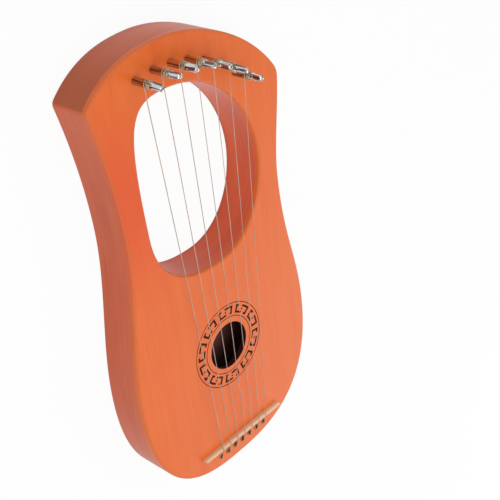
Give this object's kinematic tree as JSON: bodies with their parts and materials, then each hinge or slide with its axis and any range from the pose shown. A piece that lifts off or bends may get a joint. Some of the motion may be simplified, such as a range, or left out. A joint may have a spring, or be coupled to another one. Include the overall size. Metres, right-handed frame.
{
  "type": "lyre harp",
  "caption": "Small lyre harp: a shallow stained wooden box with a lopsided head, an egg-shaped opening, a ringed sound hole, a pale bridge, steel strings and chrome tuning pins that turn",
  "frame": {"origin": "under the middle of the harp, on the plane of its flat back", "axes": "+Z out of the soundboard, +Y from the string holes towards the arch, +X to the right seen from the front"},
  "size_m": [0.1754, 0.35, 0.057],
  "materials": {
    "stained_wood": "satin lacquer over an orange stain, fine straight grain",
    "raw_wood": "plain unfinished wood inside the box",
    "pale_wood": "pale close-grained wood, sanded",
    "chrome": "bright plated",
    "brass": "polished, slightly dulled",
    "string_steel": "drawn wire"
  },
  "bodies": {
    "harp": {"soundboard": "stained_wood", "back_plate": "stained_wood", "rim_left": "stained_wood", "rim_right": "stained_wood", "rim_arch": "stained_wood", "opening_lining": "stained_wood", "pin_block": "raw_wood", "tail_block": "raw_wood", "shoulder_block_left": "raw_wood", "shoulder_block_right": "raw_wood", "brace_upper": "raw_wood", "brace_lower": "raw_wood", "brace_back": "raw_wood", "bridge": "pale_wood", "string_1": "string_steel", "string_2": "string_steel", "string_3": "string_steel", "string_4": "string_steel", "string_5": "string_steel", "string_6": "string_steel", "string_7": "string_steel", "eyelet_1": "brass", "eyelet_2": "brass", "eyelet_3": "brass", "eyelet_4": "brass", "eyelet_5": "brass", "eyelet_6": "brass", "eyelet_7": "brass", "ball_end_1": "brass", "ball_end_2": "brass", "ball_end_3": "brass", "ball_end_4": "brass", "ball_end_5": "brass", "ball_end_6": "brass", "ball_end_7": "brass"},
    "pin_1": {"tuning_pin_1": "chrome", "winding_1": "brass"},
    "pin_2": {"tuning_pin_2": "chrome", "winding_2": "brass"},
    "pin_3": {"tuning_pin_3": "chrome", "winding_3": "brass"},
    "pin_4": {"tuning_pin_4": "chrome", "winding_4": "brass"},
    "pin_5": {"tuning_pin_5": "chrome", "winding_5": "brass"},
    "pin_6": {"tuning_pin_6": "chrome", "winding_6": "brass"},
    "pin_7": {"tuning_pin_7": "chrome", "winding_7": "brass"}
  },
  "joints": [
    {"name": "pin_1_turn", "type": "hinge", "parent": "harp", "child": "pin_1", "pos_m": [-0.0427, 0.1562, 0.0326], "axis": [0, 0, 1], "continuous": true},
    {"name": "pin_2_turn", "type": "hinge", "parent": "harp", "child": "pin_2", "pos_m": [-0.02753, 0.1579, 0.0326], "axis": [0, 0, 1], "continuous": true},
    {"name": "pin_3_turn", "type": "hinge", "parent": "harp", "child": "pin_3", "pos_m": [-0.01277, 0.15721, 0.0326], "axis": [0, 0, 1], "continuous": true},
    {"name": "pin_4_turn", "type": "hinge", "parent": "harp", "child": "pin_4", "pos_m": [0.0016, 0.15413, 0.0326], "axis": [0, 0, 1], "continuous": true},
    {"name": "pin_5_turn", "type": "hinge", "parent": "harp", "child": "pin_5", "pos_m": [0.01557, 0.14864, 0.0326], "axis": [0, 0, 1], "continuous": true},
    {"name": "pin_6_turn", "type": "hinge", "parent": "harp", "child": "pin_6", "pos_m": [0.02913, 0.14077, 0.0326], "axis": [0, 0, 1], "continuous": true},
    {"name": "pin_7_turn", "type": "hinge", "parent": "harp", "child": "pin_7", "pos_m": [0.0423, 0.1305, 0.0326], "axis": [0, 0, 1], "continuous": true}
  ]
}
